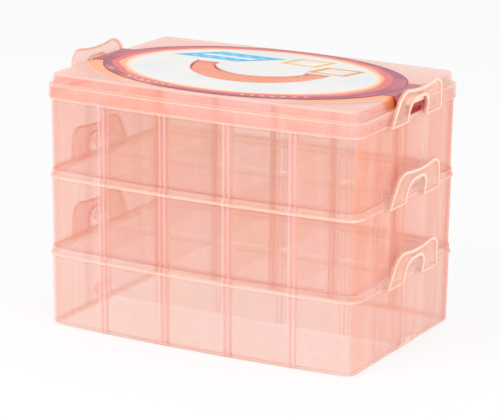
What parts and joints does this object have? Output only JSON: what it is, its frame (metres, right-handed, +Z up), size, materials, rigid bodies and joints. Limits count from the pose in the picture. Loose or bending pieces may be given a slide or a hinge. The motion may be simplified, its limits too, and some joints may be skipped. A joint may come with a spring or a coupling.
{
  "type": "stacking craft storage box",
  "caption": "Rounded translucent storage box of stacked, clip-together divided trays with a clip-on lid, printed card and fold-down carry handle.",
  "frame": {"origin": "middle of the bottom tray's underside", "axes": "+X along the box's length, +Y from the side that the handle's grip lies toward to the back, +Z up"},
  "size_m": [0.34, 0.221, 0.2459],
  "materials": {
    "tray_plastic": "glossy translucent moulded peach-pink polypropylene",
    "divider_plastic": "glossy translucent moulded peach-pink polypropylene",
    "lid_plastic": "glossy translucent moulded peach-pink polypropylene",
    "handle_plastic": "satin moulded orange-peach plastic",
    "label_card": "printed card"
  },
  "bodies": {
    "bottom_tray": {"bottom_tray": "tray_plastic"},
    "middle_tray": {"middle_tray": "tray_plastic"},
    "top_tray": {"top_tray": "tray_plastic"},
    "middle_front_divider_1": {"middle_front_divider_1": "divider_plastic"},
    "middle_front_divider_2": {"middle_front_divider_2": "divider_plastic"},
    "middle_front_divider_3": {"middle_front_divider_3": "divider_plastic"},
    "middle_front_divider_4": {"middle_front_divider_4": "divider_plastic"},
    "middle_rear_divider_1": {"middle_rear_divider_1": "divider_plastic"},
    "middle_rear_divider_2": {"middle_rear_divider_2": "divider_plastic"},
    "middle_rear_divider_3": {"middle_rear_divider_3": "divider_plastic"},
    "middle_rear_divider_4": {"middle_rear_divider_4": "divider_plastic"},
    "top_front_divider_1": {"top_front_divider_1": "divider_plastic"},
    "top_front_divider_2": {"top_front_divider_2": "divider_plastic"},
    "top_front_divider_4": {"top_front_divider_4": "divider_plastic"},
    "top_rear_divider_1": {"top_rear_divider_1": "divider_plastic"},
    "top_rear_divider_2": {"top_rear_divider_2": "divider_plastic"},
    "top_rear_divider_3": {"top_rear_divider_3": "divider_plastic"},
    "top_rear_divider_4": {"top_rear_divider_4": "divider_plastic"},
    "handle": {"handle": "handle_plastic"},
    "lid": {"lid": "lid_plastic", "lid_label": "label_card"}
  },
  "joints": [
    {"name": "middle_tray_lift", "type": "slide", "parent": "bottom_tray", "child": "middle_tray", "axis": [0, 0, 1], "range_m": [0, 0.12]},
    {"name": "top_tray_lift", "type": "slide", "parent": "middle_tray", "child": "top_tray", "axis": [0, 0, 1], "range_m": [0, 0.12]},
    {"name": "lid_lift", "type": "slide", "parent": "top_tray", "child": "lid", "axis": [0, 0, 1], "range_m": [0, 0.12]},
    {"name": "handle_swing", "type": "hinge", "parent": "lid", "child": "handle", "pos_m": [0, 0.015, 0.2339], "axis": [-1, 0, 0], "range_deg": [0, 90]},
    {"name": "middle_front_divider_1_lift", "type": "slide", "parent": "middle_tray", "child": "middle_front_divider_1", "axis": [0, 0, 1], "range_m": [0, 0.072]},
    {"name": "middle_front_divider_2_lift", "type": "slide", "parent": "middle_tray", "child": "middle_front_divider_2", "axis": [0, 0, 1], "range_m": [0, 0.072]},
    {"name": "middle_front_divider_3_lift", "type": "slide", "parent": "middle_tray", "child": "middle_front_divider_3", "axis": [0, 0, 1], "range_m": [0, 0.072]},
    {"name": "middle_front_divider_4_lift", "type": "slide", "parent": "middle_tray", "child": "middle_front_divider_4", "axis": [0, 0, 1], "range_m": [0, 0.072]},
    {"name": "middle_rear_divider_1_lift", "type": "slide", "parent": "middle_tray", "child": "middle_rear_divider_1", "axis": [0, 0, 1], "range_m": [0, 0.072]},
    {"name": "middle_rear_divider_2_lift", "type": "slide", "parent": "middle_tray", "child": "middle_rear_divider_2", "axis": [0, 0, 1], "range_m": [0, 0.072]},
    {"name": "middle_rear_divider_3_lift", "type": "slide", "parent": "middle_tray", "child": "middle_rear_divider_3", "axis": [0, 0, 1], "range_m": [0, 0.072]},
    {"name": "middle_rear_divider_4_lift", "type": "slide", "parent": "middle_tray", "child": "middle_rear_divider_4", "axis": [0, 0, 1], "range_m": [0, 0.072]},
    {"name": "top_front_divider_1_lift", "type": "slide", "parent": "top_tray", "child": "top_front_divider_1", "axis": [0, 0, 1], "range_m": [0, 0.072]},
    {"name": "top_front_divider_2_lift", "type": "slide", "parent": "top_tray", "child": "top_front_divider_2", "axis": [0, 0, 1], "range_m": [0, 0.072]},
    {"name": "top_front_divider_4_lift", "type": "slide", "parent": "top_tray", "child": "top_front_divider_4", "axis": [0, 0, 1], "range_m": [0, 0.072]},
    {"name": "top_rear_divider_1_lift", "type": "slide", "parent": "top_tray", "child": "top_rear_divider_1", "axis": [0, 0, 1], "range_m": [0, 0.072]},
    {"name": "top_rear_divider_2_lift", "type": "slide", "parent": "top_tray", "child": "top_rear_divider_2", "axis": [0, 0, 1], "range_m": [0, 0.072]},
    {"name": "top_rear_divider_3_lift", "type": "slide", "parent": "top_tray", "child": "top_rear_divider_3", "axis": [0, 0, 1], "range_m": [0, 0.072]},
    {"name": "top_rear_divider_4_lift", "type": "slide", "parent": "top_tray", "child": "top_rear_divider_4", "axis": [0, 0, 1], "range_m": [0, 0.072]}
  ],
  "couplings": [
    {"joint": "middle_front_divider_1_lift", "follows": "top_tray_lift", "ratio": 0.6},
    {"joint": "middle_front_divider_2_lift", "follows": "top_tray_lift", "ratio": 0.6},
    {"joint": "middle_front_divider_3_lift", "follows": "top_tray_lift", "ratio": 0.6},
    {"joint": "middle_front_divider_4_lift", "follows": "top_tray_lift", "ratio": 0.6},
    {"joint": "middle_rear_divider_1_lift", "follows": "top_tray_lift", "ratio": 0.6},
    {"joint": "middle_rear_divider_2_lift", "follows": "top_tray_lift", "ratio": 0.6},
    {"joint": "middle_rear_divider_3_lift", "follows": "top_tray_lift", "ratio": 0.6},
    {"joint": "middle_rear_divider_4_lift", "follows": "top_tray_lift", "ratio": 0.6},
    {"joint": "top_front_divider_1_lift", "follows": "lid_lift", "ratio": 0.6},
    {"joint": "top_front_divider_2_lift", "follows": "lid_lift", "ratio": 0.6},
    {"joint": "top_front_divider_4_lift", "follows": "lid_lift", "ratio": 0.6},
    {"joint": "top_rear_divider_1_lift", "follows": "lid_lift", "ratio": 0.6},
    {"joint": "top_rear_divider_2_lift", "follows": "lid_lift", "ratio": 0.6},
    {"joint": "top_rear_divider_3_lift", "follows": "lid_lift", "ratio": 0.6},
    {"joint": "top_rear_divider_4_lift", "follows": "lid_lift", "ratio": 0.6}
  ]
}
